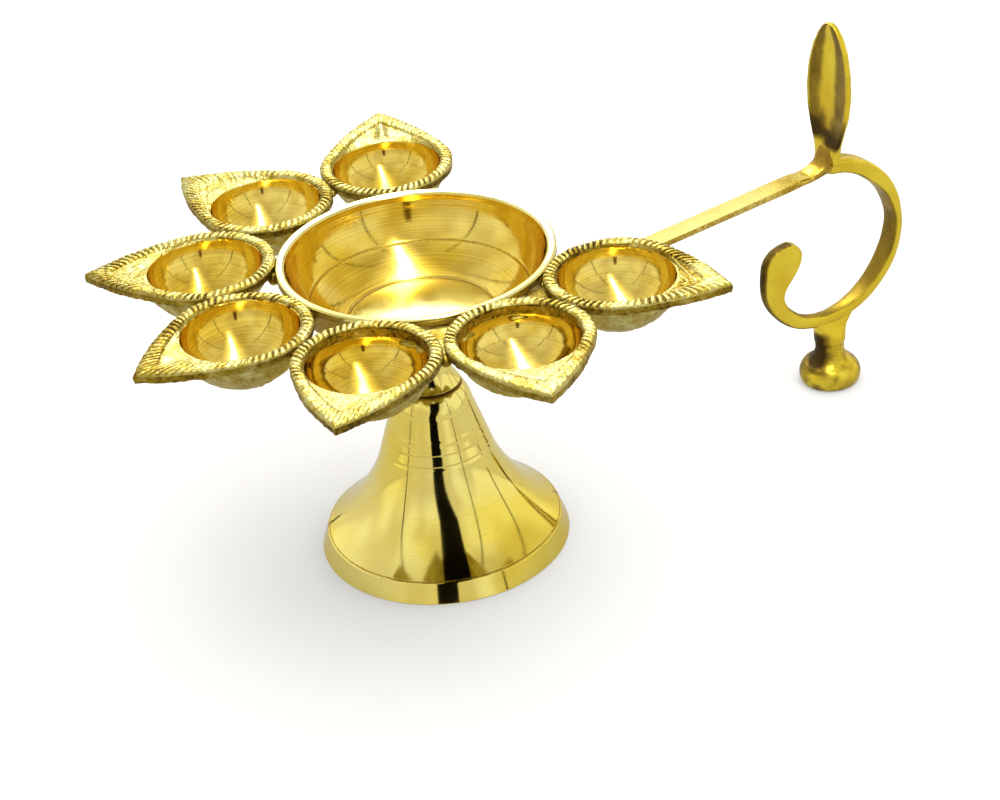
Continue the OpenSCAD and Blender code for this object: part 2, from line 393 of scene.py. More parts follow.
def bell():
    two_grooves = [(cone_r(z) - d, z + k) for z in (31, 34) for k, d in ((-0.3, 0), (0, 0.10), (0.3, 0))]
    ridge = [(cone_r(z) + d, z) for z, d in ((36.2, 0), (36.8, 0.04), (37.5, 0.04), (38.1, 0))]
    outside = chain(
        (33.2, 0), (35, 0), (33, 5.5), (32.6, 5.75), bend((32.45, 5.9), (CONE_LOW_R, CONE_LOW), 2.4, 40),
        two_grooves, ridge, bend((CONE_HIGH_R, CONE_HIGH), (BELL_TOP_R, BELL_TOP - 0.3), -0.4, 8),
        (BELL_TOP_R - 0.5, BELL_TOP), (BORE, BELL_TOP),
    )
    throat = bend((13.6, 29), (33.2, 0.6), -2.6, 24)
    inside = chain((BORE, BELL_TOP), (BORE, 37), (9, 35), throat, (33.2, 0))
    shell = Shell()
    outer = dense(soften(outside, 0.14), 0.35)
    z = outer[:, 1]
    grid = lathe(outer, 288)
    # the buffed skin isn't quite true, so its reflections wander a little
    height = grid[..., 2]
    wander = 0.035 * noise(grid, 13, 11, 2) * smoothstep(1, 8, height) * smoothstep(49, 44, height)
    grid = grid + spin(grid) * wander[..., None]
    # a dark band at the top, where the collar meets the bell: a stain, and the collar's painted shadow
    joint_stain_and_shadow = 1.3 * smoothstep(BELL_TOP - 0.75, BELL_TOP - 0.2, z)
    seam = 0.5 * (np.abs(z - BAND_TOP) < 0.12) + joint_stain_and_shadow
    shell.add(grid, ring=arc_length(outer), turn=spin(grid), patina=seam)
    inner = dense(soften(inside, 0.3), 0.8)
    shell.add(lathe(inner, 288), slot=1, ring=arc_length(inner), patina=0.3)
    shell.build("bell_base_turned", "stand", "bell_base", "polished_brass", POLISHED, RAW)


# ---------------------------------------------------------------- collar and stud
def collar():
    low, high = BELL_TOP + 0.05, 61.45
    loop = chain(
        (BORE, 55), (BORE, low), (8.0, low), bend((8.55, low + 0.5), (5.6, low + 8.4), 0.7, 16),
        (7, high - 1.55), (7, high), (BORE, high), (BORE, 55),
    )
    line = dense(soften(loop, 0.16), 0.3)[:-1]
    r, z = line.T
    grid = lathe(line, 160)
    hidden = (r < 8) & (z < low + 0.05) | (r < BORE + 0.1)
    # a dark band at the foot, where the collar meets the bell: a stain, and painted shade in the gap
    joint_stain_and_shadow = 1.2 * smoothstep(low + 0.75, low + 0.3, z)
    dirt_and_shade = np.maximum(0.8 * hidden, joint_stain_and_shadow)
    shell = Shell()
    shell.add(grid, wrap_rows=True, ring=arc_length(line), turn=spin(grid), patina=dirt_and_shade)
    shell.build("neck_collar_turned", "collar", "neck_collar", "polished_brass", POLISHED)


def stud():
    low, high, pitch, depth, cols = 42.0, 67.5, 1.25, 0.62, 72
    crest = STUD_R - 0.02
    z = np.arange(low, high + 1e-6, 0.085)[:, None]
    a = (np.arange(cols) * TAU / cols)[None, :]
    phase = (z / pitch - a / TAU) % 1.0
    tooth = np.clip(np.abs(phase - 0.5) * 2.5 - 0.12, 0, 1)
    # the thread runs out inside the bowl's boss, and the lower end is chamfered
    run_out = 1 - smoothstep(61.8, 63.2, z)
    r = crest * (1 - run_out) + (crest - depth * tooth) * run_out
    r = np.minimum(r, STUD_R - 0.85 + (z - low))
    grid = np.stack([r * np.cos(a), r * np.sin(a), z + 0 * a], -1)
    full = np.concatenate([grid[:1] * [0, 0, 1], grid, grid[-1:] * [0, 0, 1]])
    end_dirt = [[0.2] * cols]
    dirt_and_shade = np.concatenate([end_dirt, 0.75 * tooth * run_out + 0.1, end_dirt])
    shell = Shell()
    shell.add(full, patina=dirt_and_shade)
    shell.build("centre_stud_threaded", "head", "centre_stud", "plain_brass", PLAIN)


# ---------------------------------------------------------------- bowl
BOWL_R, RIM_Z, FLOOR_Z, FLOOR_R = 37.2, 89.6, 71.4, 20.5
RIM_OUTER_R = 36.75
BUFFED_ABOVE = 88.95
WALL_RING_Z = 77.6


def bowl():
    shell = Shell()
    inner = chain(
        (0, FLOOR_Z - 0.4), (FLOOR_R - 1.4, FLOOR_Z - 0.4), (FLOOR_R - 1.0, FLOOR_Z - 0.62),
        (FLOOR_R - 0.6, FLOOR_Z - 0.3), bend((FLOOR_R, FLOOR_Z), (34.1, 86.2), -2.5, 60), (34.5, 87.6),
        (34.75, 89.05), (35.3, 89.5), (RIM_OUTER_R, RIM_Z),
    )
    inner = dense(soften(inner, 0.12), 0.14)
    run = arc_length(inner)
    grid = lathe(inner, 256)
    normal = grid_normals(grid)
    # chatter of the lathe tool: shallow rings, about a millimetre apart, that come and go round the wall, and
    # finer ones on the floor
    wall = smoothstep(21, 23, run) * smoothstep(41.5, 40, run)
    ring_noise = noise(np.stack([run, 0 * run, 0 * run], -1), 1.4, 5, 2)
    chatter = 0.006 * np.sin(TAU * run / 1.15 + 2.5 * ring_noise) * (0.55 + 0.45 * ring_noise)
    patchy = 0.6 + 0.5 * noise(grid, 26, 7)
    centre_marks = 0.001 * np.sin(TAU * run / 0.7) * smoothstep(20, 18, run)
    grid = grid + normal * ((chatter * wall)[:, None] * patchy + centre_marks[:, None])[..., None]
    # a ring cut half way up the wall
    ring_cut = np.exp(-(((inner[:, 1] - WALL_RING_Z) / 0.26) ** 2)) * wall
    grid = grid - normal * (0.09 * ring_cut)[:, None, None]
    floor_edge = np.exp(-(((inner[:, 0] - FLOOR_R + 0.95) / 0.28) ** 2)) * (inner[:, 1] < FLOOR_Z)
    groove = 0.50 * ring_cut + 0.9 * floor_edge
    buffed = (run < FLOOR_R - 0.5) | (inner[:, 1] > BUFFED_ABOVE)
    shell.add(grid, ring=run, turn=spin(grid), patina=groove, slot=np.where(buffed, 2, 0))
    outer = chain(
        (RIM_OUTER_R, RIM_Z), (BOWL_R, RIM_Z - 0.35), (BOWL_R, 87.4),
        bend((36.6, 86.6), (FLOOR_R, 69.2), 2.8, 24),
        (7, 68.6), (7, 63.5), (4.03, 63.5), (4.03, 67.5), (0, 67.5),
    )
    outer = dense(soften(outer, 0.18), 0.6)
    grid = lathe(outer, 256)
    cast = smoothstep(89.4, 87.0, grid[..., 2])
    bumps = (0.10 * noise(grid, 2.2, 21, 2) + 0.05 * noise(grid, 0.8, 22)) * cast
    # the boss and its bore stay true
    keep = smoothstep(63.5, 64.5, grid[..., 2]) * smoothstep(4.2, 6.5, np.hypot(grid[..., 0], grid[..., 1]))
    grid = grid - grid_normals(grid) * (np.abs(bumps) * keep)[..., None]
    dirt_and_shade = cast * (0.45 + 0.35 * noise(grid, 9, 23, 2))
    slot = np.where(outer[:, 1] > 88.6, 2, 1)
    shell.add(grid, ring=arc_length(outer) + run[-1], turn=spin(grid), patina=dirt_and_shade, slot=slot)
    shell.build("central_bowl_turned", "head", "central_bowl", "turned_brass", TURNED, RAW, BUFFED)


# ---------------------------------------------------------------- wick cups
CUP_PITCH, CUP_FIRST, CUP_RING = 39.8, 69.5, 56.0
LEAF_R, LEAF_TIP, LEAF_TOP, LEAF_LOW = 19.0, 32.0, 90.5, 87.3
ROPE_W, HOLLOW_RHO, HOLLOW_LOW = 3.5, 15.45, 77.0
SKIN_Z, SKIN_R = 92.6, 17.6
SHELF_DROP, STRAND_PITCH = 0.8, 1.95
HOLLOW_TURN = math.radians(86)
HOLLOW_ROWS, RECESS_ROWS, ROPE_ROWS = 40, 16, 19
# for each cup: lean and upward tilt of the tip in degrees, extra length of the tip, drop of the hollow's edge
# below the leaf at the inner side and at the tip, depth of the rope's grooves, height of a crease along the
# recess and of veins across it, and wear of the rope at the tip
CUPS = (
    (-4, 2, 0.7, 1.0, 1.6, 0.36, 1.2, 0.0, 0.5),
    (3.5, 0, 0.3, 0.9, 1.4, 0.42, 0.0, 0.15, 0.2),
    (1.2, 0, 0.2, 0.7, 1.3, 0.48, 0.0, 0.10, 0.2),
    (0, 0, -0.3, 0.7, 1.5, 0.46, -0.3, 0.0, 0.3),
    (0.1, 0, 0.1, 3.2, 1.3, 0.38, 0.0, 0.12, 0.7),
    (-15.5, 0, -1.0, 3.2, 1.3, 0.36, 0.0, 0.10, 0.9),
    (0.5, 0, -1.4, 1.4, 1.8, 0.52, 0.0, 0.45, 0.0),
)


def leaf_reach(a, r, tip):
    """Distance from a cup's centre to its leaf's outline, at angle a from the tip. The flanks are bowed."""
    a = np.abs((a + math.pi) % TAU - math.pi)
    spring = math.radians(70)
    springing = (r * math.cos(spring), r * math.sin(spring))
    flank = chain((tip, 0), bend((tip - 0.8, 0.8), springing, -r / 12, 30))
    return np.interp(a, np.arctan2(flank[:, 1], flank[:, 0]), np.hypot(flank[:, 0], flank[:, 1]), right=r)


def wick_cup(i):
    lean, tilt, extra, back_drop, tip_drop, rope_d, crease, veins, worn = CUPS[i]
    seed = 100 + 17 * i
    cols = 560
    tip = LEAF_TIP + extra
    fine = np.linspace(-math.pi, math.pi, 7201)
    reach = leaf_reach(fine, LEAF_R, tip)
    lengths = arc_length(np.stack([reach * np.cos(fine), reach * np.sin(fine)], -1))
    perimeter = lengths[-1]
    # columns evenly spaced along the outline
    run = np.arange(cols) * perimeter / cols
    around = np.interp(run, lengths, fine)
    # castings are never quite alike: the outline and the rope's width wander
    ring3 = np.stack([np.cos(around) * 9, np.sin(around) * 9, 0 * around + 5 * i], -1)
    edge = leaf_reach(around, LEAF_R, tip) - 0.06 - 0.12 * (1 + noise(ring3, 4, seed, 2))
    inner = leaf_reach(around, LEAF_R - ROPE_W, tip - ROPE_W * 2.1) + 0.25 * noise(ring3, 3, seed + 1, 2)
    back = 0.5 - 0.5 * np.cos(around)
    drop = tip_drop + (back_drop - tip_drop) * smoothstep(0.25, 0.85, back)
    drop = drop + 0.12 * noise(ring3, 5, seed + 2)
    lip = LEAF_TOP - drop
    rho_end = HOLLOW_RHO - 0.10 * drop
    inner = np.maximum(inner, rho_end + 0.2)
    rows, values, slots = [], [], []

    def row(rho, z, patina=0.0, ring=0.0, slot=1):
        rows.append(np.stack([rho * np.cos(around), rho * np.sin(around), z + 0 * around], -1))
        values.append((patina + 0 * around, ring + 0 * around))
        slots.append(slot)

    # turned hollow, from its bottom up, with the tool's chatter and one ring mark
    for t in np.linspace(0, 1, HOLLOW_ROWS):
        turn = HOLLOW_TURN * t
        length = 18.5 * t
        mark = math.exp(-(((length - 12.4) / 0.22) ** 2))
        wobble = 0.005 * math.sin(TAU * length / 0.95 + i) * (1 if length > 2 else 0) + 0.05 * mark
        wide = math.sin(turn) / math.sin(HOLLOW_TURN)
        deep = (math.cos(turn) - math.cos(HOLLOW_TURN)) / (1 - math.cos(HOLLOW_TURN))
        row(rho_end * wide + wobble, lip - (lip - HOLLOW_LOW) * deep, 0.30 * mark, length + 40 * i, 0)
    slots[-1] = 1
    # cast recess, from the turned edge up to the rope
    shelf = LEAF_TOP - SHELF_DROP
    for t in np.linspace(0.04, 1, RECESS_ROWS):
        rho = rho_end + (inner - rho_end) * t
        x, y = rho * np.cos(around), rho * np.sin(around)
        z = lip + (shelf - lip) * t**0.8
        on_tip = smoothstep(0.45, 0.25, back) * smoothstep(0, 0.25, t) * smoothstep(1, 0.8, t)
        z = z + crease * np.exp(-((y / 1.5) ** 2)) * on_tip
        vein = np.maximum(0, np.sin(TAU * (x + 0.9 * np.abs(y)) / 2.3)) ** 2
        z = z + veins * (vein - 0.35) * on_tip
        # painted shade: darker in the valleys between the veins, towards the recess's inner side, and in the
        # corner at the rope's foot
        depth = np.where(veins > 0, 0.55 * (1 - vein) * min(1, veins * 3) * on_tip, 0)
        wall = smoothstep(0.3, 0.7, back)
        corner = np.exp(-(((t - 0.97) / 0.08) ** 2))
        row(rho, z, 0.62 * wall + depth + 0.30 * corner)
    # rope rim: a flat-topped band cut across by slanting grooves, deeper at some places than others
    strands = round(perimeter / STRAND_PITCH)
    wear = np.clip(0.8 + 0.7 * noise(ring3, 3.4, seed + 3, 2), 0.05, 1.4)
    wear = wear * (1 - worn * smoothstep(0.35, 0.05, back))
    jitter = 1.5 * noise(ring3, 2.2, seed + 4, 2)
    for t in np.linspace(0.04, 1, ROPE_ROWS):
        rho = inner + (edge - inner) * t
        bead = (1 - abs(2 * t - 1) ** 3.4) ** 0.6
        phase = TAU * (run / perimeter * strands + 0.75 * (t - 0.5)) + jitter
        cut = (0.5 + 0.5 * np.cos(phase)) ** 3
        z = shelf + (LEAF_TOP - shelf) * bead - rope_d * cut * wear * bead**0.5
        blotch = 0.34 * noise(ring3, 6, seed + 5, 2) + 0.20 * noise(ring3, 1.5, seed + 11)
        groove = 0.06 + 1.05 * cut * wear * bead**0.3 + blotch
        row(rho, z, groove)
    # edge of the leaf, darkened with painted shade
    rim_z = rows[-1][:, 2].copy()
    for t in np.linspace(0.12, 1, 8):
        z = rim_z + (LEAF_LOW + 0.35 - rim_z) * t
        bulge = 0.10 * np.sin(math.pi * t)
        row(edge - 0.28 * t + bulge, z, 0.62)
    # underside: the cup's ball runs into the leaf's plate in a fillet, darkened with patina and painted shade
    fillet, far_up = 1.3, 200.0
    for t in np.linspace(0.02, 1, 44) ** 0.85:
        rho = (edge - 0.30) * (1 - t)
        ball = SKIN_Z - np.sqrt(np.maximum(SKIN_R**2 - rho**2, 0.01))
        ball = np.where(rho < SKIN_R - 0.02, ball, far_up)
        plate = LEAF_LOW + 0.35 * np.exp(-(edge - rho) * 2.0)
        mix = np.clip(0.5 + 0.5 * (plate - ball) / fillet, 0, 1)
        z = plate * (1 - mix) + ball * mix - fillet * mix * (1 - mix)
        row(rho, z, 0.30)
    grid = np.array(rows)
    patina, ring = np.moveaxis(np.array(values), 1, 0)
    # sand-cast skin on all but the turned hollow
    normal = grid_normals(grid)
    local = grid + [0, 0, 37.0 * i]
    skin = 0.13 * noise(local, 1.6, seed + 6, 2) + 0.10 * noise(local, 0.55, seed + 7)
    skin = skin + 0.12 * noise(local, 7, seed + 8)
    raw = np.ones(len(rows))
    raw[:HOLLOW_ROWS] = 0
    raw[HOLLOW_ROWS] = 0.4
    rope_first = HOLLOW_ROWS + RECESS_ROWS
    raw[rope_first : rope_first + ROPE_ROWS] = 0.9
    pole = smoothstep(0.0, 1.5, np.hypot(grid[..., 0], grid[..., 1]))
    grid = grid + normal * (skin * raw[:, None] * pole)[..., None]
    blotches = 0.22 * noise(local, 4, seed + 9, 3) + 0.16 * noise(local, 0.9, seed + 10)
    patina = patina + blotches * (raw[:, None] > 0)
    # the leaf's tip tilts up about the cup's centre
    c, s = math.cos(math.radians(tilt)), math.sin(math.radians(tilt))
    up = grid[..., 2] - LEAF_TOP
    grid = np.stack([grid[..., 0] * c - up * s, grid[..., 1], LEAF_TOP + grid[..., 0] * s + up * c], -1)
    # into place beside the bowl, its inner side cut round to the bowl's rim
    place = math.radians(CUP_FIRST + i * CUP_PITCH)
    heading = math.radians(CUP_FIRST + i * CUP_PITCH + lean)
    centre = (CUP_RING * math.cos(place), CUP_RING * math.sin(place))
    c, s = math.cos(heading), math.sin(heading)
    x = centre[0] + grid[..., 0] * c - grid[..., 1] * s
    y = centre[1] + grid[..., 0] * s + grid[..., 1] * c
    away = np.hypot(x, y)
    push = np.maximum(BOWL_R + 0.08, away) / away
    grid = np.stack([x * push, y * push, grid[..., 2]], -1)
    shell = Shell()
    shell.add(grid, slot=slots, patina=patina, ring=ring, turn=spin(grid, centre))
    name = f"wick_cup_{i + 1}"
    shell.build(name + "_cast", "head", name, "rough_cast_brass", TURNED, ROUGH)


# ---------------------------------------------------------------- handle
BAR_HALF_W, TAIL_HALF_W = 3.5, 1.9
# the leaf starts at this height, inside the bar, and its measured root is a little higher
LEAF_START, LEAF_ROOT, LEAF_END, LEAF_X = 73.6, 75.3, 115.7, 134.35
SCROLL_AT = (134.5, 47.0)
FOOT_X = 136.0


def rounded(a, b, r, arc=4, flat=5, crown=0.0):
    """Closed outline, as (u, v) points, of a rectangle 2a by 2b with rounded corners and crowned faces."""
    out = []
    for k, (su, sv) in enumerate(((1, 1), (-1, 1), (-1, -1), (1, -1))):
        start = k * math.pi / 2
        for t in np.linspace(0, 1, arc + 1):
            w = start + t * math.pi / 2
            out.append((su * (a - r) + r * math.cos(w), sv * (b - r) + r * math.sin(w)))
        for t in np.linspace(0, 1, flat + 2)[1:-1]:
            lift = crown * 4 * t * (1 - t)
            if k % 2 == 0:
                out.append(((a - r) * (1 - 2 * t) * su, sv * b + sv * lift))
            else:
                out.append((su * a + su * lift, (b - r) * (1 - 2 * t) * sv))
    return np.array(out)


def sweep(stations, r=0.55, crown=0.06):
    """Grid of rounded sections in the handle's plane. Each station is (centre x, z, way out x, z, half
    thickness, half width, and its own corner radius if it has one)."""
    rows = []
    for x, z, nx, nz, a, b, *own in stations:
        corner = min(own[0] if own else r, 0.96 * a, 0.96 * b)
        uv = rounded(a, b, corner, crown=min(crown, 0.2 * a))
        rows.append(np.stack([x + uv[:, 0] * nx, uv[:, 1], z + uv[:, 0] * nz], -1))
    return np.array(rows)


def capped(grid):
    """The grid with its end rows drawn in to their middles, so that the skin closes."""
    middle = [g.mean(0) + 0 * g for g in (grid[0], grid[-1])]
    near = [0.5 * (grid[0] + middle[0]), 0.5 * (grid[-1] + middle[1])]
    return np.concatenate([[middle[0], near[0]], grid, [near[1], middle[1]]])


def capped_values(values):
    """Values of a grid's points, carried on to the rows that capped adds."""
    return np.pad(values, ((2, 2), (0, 0)), "edge")


def roughened(grid, seed, coarse, fine, keep=1.0):
    """The grid with a filed casting's unevenness, in millimetres, as far as keep says."""
    shake = coarse * noise(grid, 5, seed, 2) + fine * noise(grid, 1.1, seed + 1, 2)
    return grid + grid_normals(grid) * (np.asarray(shake * keep))[..., None]


def shaded_side(grid):
    """How far points of the foot and its pad lie towards the camera's left, the side that is darkened with
    painted shade.
    """
    return (grid[..., 0] - FOOT_X) * -0.85 + grid[..., 1] * 0.5


def handle_bar():
    low = dense(soften(chain((6, 61.53), (10, 61.53), (133, 70.6), (138.6, 70.9)), 3), 0.7)
    high = chain(
        (6, 63.47), (10, 63.47), bend((10.3, 63.49), (124, 71.9), -0.25, 30),
        bend((124.4, 71.93), (133.6, 75.4), -1.5, 14), (134.3, 77.6), (135.1, 80.4),
    )
    high = dense(high, 0.6)
    t = np.linspace(0, 1, 200)
    lows = np.stack([np.interp(t * arc_length(low)[-1], arc_length(low), low[:, k]) for k in (0, 1)], -1)
    share = arc_length(high) / arc_length(high)[-1]
    # sections stay upright along the bar and fan out under the leaf's root
    upright = np.stack([np.interp(lows[:, 0], high[:, 0], high[:, k]) for k in (0, 1)], -1)
    fan = smoothstep(121, 138, lows[:, 0])[:, None]
    ends = np.stack([np.interp(t, share, high[:, k]) for k in (0, 1)], -1)
    highs = upright * (1 - fan) + ends * fan
    stations = []
    for p, q in zip(lows, highs):
        d = q - p
        size = np.linalg.norm(d)
        c = (p + q) / 2
        corner = 0.42 + 1.5 * smoothstep(118, 136, p[0])
        stations.append((c[0], c[1], d[0] / size, d[1] / size, size / 2, BAR_HALF_W - 0.03, corner))
    grid = sweep(stations, crown=0.05)
    grid = roughened(grid, 300, 0.05, 0.012, smoothstep(11, 16, grid[..., 0]))
    x, y, z = np.moveaxis(grid, -1, 0)
    # darker on the sides and underneath, duller towards the leaf, and a stain at its root
    side = smoothstep(3.0, 3.4, np.abs(y))
    under = smoothstep(0.1, -0.6, z - np.interp(x, highs[:, 0], (lows[:, 1] + highs[:, 1]) / 2))
    darker_sides_and_underside = np.maximum(0.50 * side * (0.8 + 0.5 * noise(grid, 12, 301, 2)), 0.4 * under)
    root = smoothstep(98, 130, x) * (0.40 + 0.22 * noise(grid, 5, 302, 2))
    stain = 0.75 * smoothstep(126, 131, x) * smoothstep(136, 133.5, x) * smoothstep(71, 74, z)
    stain = np.maximum(stain, 0.36 * smoothstep(74.0, 77.0, z))
    dirt_and_shade = np.maximum(np.maximum(darker_sides_and_underside, root), stain)
    shell = Shell()
    shell.add(capped(grid), patina=capped_values(dirt_and_shade))
    eye = chain((4.03, 62.5), (4.03, 61.5), (7.5, 61.5), (7.5, 63.5), (4.03, 63.5), (4.03, 62.5))
    eye = dense(soften(eye, 0.25), 0.5)[:-1]
    shell.add(lathe(eye, 96), wrap_rows=True, patina=0.3)
    shell.build("handle_bar_filed", "head", "handle_bar", "polished_brass", POLISHED)


def thumb_leaf():
    reach, lean = LEAF_END - LEAF_START, math.radians(3)
    rows, dirt_and_shade = [], []
    rounding = np.sin(np.linspace(0, math.pi / 2, 26)[1:])
    heights = np.concatenate([np.linspace(0, 0.9, 70), 0.9 + 0.1 * rounding])
    # half width at heights above the root
    span = np.array([-1.7, 0, 3, 8, 14, 20, 27, 33, 37, 39.2, 40.2, 40.45])
    widths = np.array([4.6, 4.3, 4.7, 6.7, 8.5, 9.15, 8.5, 6.8, 4.7, 3.0, 1.7, 0.3])
    u = np.linspace(-1, 1, 33)
    for h in heights:
        up = h * reach + LEAF_START - LEAF_ROOT
        w = np.interp(up, span, widths)
        hollow = 1.15 * (smoothstep(2.0, 9.0, up) * smoothstep(reach - 2.0, reach - 8, up))
        edge = 1.8 + 0.8 * (1 - smoothstep(0, 8, up)) - 0.5 * smoothstep(36, 40.4, up)
        spine = 1.0 + 0.3 * (1 - smoothstep(0, 8, up)) - 0.7 * smoothstep(30, 40, up)
        front = hollow * (1 - u**2) * np.clip(w / 6, 0, 1)
        rear = edge + spine * (1 - u**2)
        # section: hollowed front, rounded edge, crowned back, rounded edge
        r = min(0.3, 0.3 * w, 0.35 * edge)
        ring = [(x, w * v) for x, v in zip(front, u)]
        ring += [(edge * k, w + r * math.sin(math.pi * k)) for k in (0.08, 0.3, 0.5, 0.7, 0.92)]
        ring += [(x, w * v) for x, v in zip(rear[::-1], u[::-1])]
        ring += [(edge * k, -w - r * math.sin(math.pi * k)) for k in (0.92, 0.7, 0.5, 0.3, 0.08)]
        ring = np.array(ring)
        x = LEAF_X + up * math.tan(lean) + ring[:, 0]
        rows.append(np.stack([x, ring[:, 1], LEAF_ROOT + up + 0 * x], -1))
        # the front's flanks and lower third are dull, with a dark stain low on one side
        share = ring[:, 1] / max(w, 0.1)
        front_face = smoothstep(1.35, 1.0, ring[:, 0])
        flank = smoothstep(0.10, 0.55, np.abs(share - 0.08)) * smoothstep(0.99, 0.90, np.abs(share))
        flank = flank * front_face
        low = smoothstep(19, 7, up) * smoothstep(3.2, 6.6, up) * front_face
        stain = np.exp(-(((up - 5.6) / 2.6) ** 2)) * front_face * smoothstep(0.6, -0.4, share)
        dirt_and_shade.append(np.maximum(0.60 * flank * smoothstep(2, 9, up), np.maximum(0.90 * low, 1.25 * stain)))
    grid = roughened(np.array(rows), 320, 0.05, 0.03, 0.8)
    dirt_and_shade = np.array(dirt_and_shade) + 0.14 * noise(grid, 5, 322, 3)
    shell = Shell()
    shell.add(capped(grid), patina=capped_values(dirt_and_shade))
    shell.build("thumb_leaf_cast", "head", "thumb_leaf", "cast_brass", SATIN)


def scroll_strip(shell):
    """The bent strip of the finger loop and its fat curl."""
    # angle clockwise from the top, outer radius, inner radius
    stations = np.array([
        (-16, 26.6, 24.2), (-6, 27.4, 23.6), (0, 27.6, 23.4), (40, 27.3, 22.2), (90, 27, 24.3),
        (135, 26.9, 23.3), (180, 27.2, 23.4), (205, 27.5, 23), (225, 26.7, 21.5), (233, 26.4, 20.2),
        (239, 26.0, 17.2), (244, 25.6, 13.0), (250, 24.9, 10.9), (256, 24.1, 9.9), (262, 23.3, 9.4),
        (268, 22.8, 9.2), (274, 21.7, 9.3), (280, 19.6, 9.9), (284.5, 17.0, 10.9), (287.5, 14.6, 12.2),
    ])
    angles = np.concatenate([np.arange(-16, 238, 1.3), np.arange(238, 287.6, 0.9), [287.5]])
    outer, inner = (np.interp(angles, stations[:, 0], stations[:, k]) for k in (1, 2))
    outer = outer - 0.2
    blur = np.array([1, 4, 6, 4, 1]) / 16
    for _ in range(2):
        outer[2:-2], inner[2:-2] = np.convolve(outer, blur, "valid"), np.convolve(inner, blur, "valid")
    rows = []
    for a, ro, ri in zip(np.radians(angles), outer, inner):
        middle = (ro + ri) / 2
        x = SCROLL_AT[0] + math.sin(a) * middle
        # as wide as the bar at first, and narrower past the far side
        late = smoothstep(math.radians(100), math.radians(125), a)
        wide = np.clip((x - 131) / 27, 0, 1) if a < math.pi * 1.1 else 0.0
        half = BAR_HALF_W * (1 - late) + late * (TAIL_HALF_W + (BAR_HALF_W - TAIL_HALF_W) * wide)
        # the first few degrees are buried in the end of the bar
        buried = smoothstep(math.radians(2), math.radians(-6), a)
        thick = (ro - ri) / 2 * (1 - 0.5 * buried)
        z = SCROLL_AT[1] + math.cos(a) * middle
        rows.append((x, z, math.sin(a), math.cos(a), thick, half - 0.04 - 1.2 * buried))
    grid = sweep(rows, 1.1, 0.16)
    grid = roughened(grid, 340, 0.09, 0.03, 0.9)
    away = np.hypot(grid[..., 0] - SCROLL_AT[0], grid[..., 2] - SCROLL_AT[1])
    # painted shade: darker on the loop's inner face, and on its outer face at the bottom, towards the lamp;
    # the noise adds patina blotches
    inside = smoothstep(0.6, -0.4, away - inner[:, None] - 0.3)
    outside = smoothstep(-0.9, 0.1, away - outer[:, None]) * smoothstep(185, 215, angles)[:, None]
    dirt_and_shade = 0.50 * inside + 0.80 * outside + 0.16 * noise(grid, 7, 342, 3) + 0.08
    shell.add(capped(grid), patina=capped_values(dirt_and_shade))


def scroll_pad(shell):
    """The pad that carries the scroll on its foot."""
    z = np.linspace(12.6, 22.4, 44)
    heights = (12.6, 14.0, 15.5, 17.0, 18.5, 20, 21.2, 22.4)
    left = np.interp(z, heights, (131.8, 131.35, 131.25, 131.1, 130.8, 130.3, 129.7, 129.0))
    right = np.interp(z, heights, (140.2, 140.65, 140.75, 140.9, 141.4, 142.6, 143.9, 145.6))
    half = np.interp(z, heights, (4.2, 4.62, 4.3, 3.5, 2.7, 2.1, 1.65, 1.3))
    corner = np.interp(z, heights, (4.1, 4.4, 3.9, 3.0, 2.0, 1.2, 1.0, 0.9))
    sections = zip(left, right, z, half, corner)
    rows = [((l + r) / 2, h, 1, 0, (r - l) / 2, w, c) for l, r, h, w, c in sections]
    grid = roughened(sweep(rows, crown=0.1), 345, 0.06, 0.03, 0.8)
    # painted shade low on the pad, on the camera's left side; the noise adds patina blotches
    stain = smoothstep(19, 15.5, grid[..., 2]) * smoothstep(-1.0, 3.5, shaded_side(grid))
    dirt_and_shade = 0.12 + stain + 0.16 * noise(grid, 5, 346, 3)
    shell.add(capped(grid), patina=capped_values(dirt_and_shade))


def handle_scroll():
    shell = Shell()
    scroll_strip(shell)
    scroll_pad(shell)
    shell.build("handle_scroll_cast", "head", "handle_scroll", "cast_brass", SATIN)


def scroll_foot():
    profile = chain(
        (0, 0), (8.3, 0), bend((8.5, 0.1), (7.9, 6.2), -1.1, 14), bend((7.8, 6.3), (4.5, 12.8), 1.3, 14),
        (4.2, 15.4), (3.0, 16.8), (0, 17.2),
    )
    line = dense(soften(profile, 0.3), 0.4)
    grid = lathe(line, 128) + [FOOT_X, 0, 0]
    skin = 0.07 * noise(grid, 4, 360, 2) + 0.03 * noise(grid, 1.1, 361, 2)
    # the face that stands on the table stays flat
    keep = smoothstep(0.05, 1.2, grid[..., 2])
    grid = grid - grid_normals(grid) * (np.abs(skin) * keep)[..., None]
    # painted shade on the upper foot's side to the camera's left; the rest is patina
    neck_shade = smoothstep(4, 9, grid[..., 2]) * smoothstep(-1.0, 3.5, shaded_side(grid))
    dirt_and_shade = neck_shade + 0.30 + 0.34 * noise(grid, 4, 362, 3)
    shell = Shell()
    shell.add(grid, patina=dirt_and_shade)
    shell.build("scroll_foot_cast", "head", "scroll_foot", "cast_brass", SATIN)


# ---------------------------------------------------------------- brazing
def lump(shell, reach, z, size, angle, seed):
    """A rough blob of filler metal, at a distance from the lamp's axis along angle, in radians."""
    u = np.linspace(0, math.pi, 17)[:, None]
    v = (np.arange(28) * TAU / 28)[None, :]
    grid = np.stack([np.sin(u) * np.cos(v), np.sin(u) * np.sin(v), np.cos(u) + 0 * v], -1) * size
    grid = grid * (1 + 0.22 * noise(grid, 1.8, seed, 2)[..., None])
    c, s = math.cos(angle), math.sin(angle)
    x = reach * c + grid[..., 0] * c - grid[..., 1] * s
    y = reach * s + grid[..., 0] * s + grid[..., 1] * c
    full = np.stack([x, y, z + grid[..., 2]], -1)
    shell.add(full, patina=0.45 + 0.35 * noise(full, 2.5, seed + 1, 2))


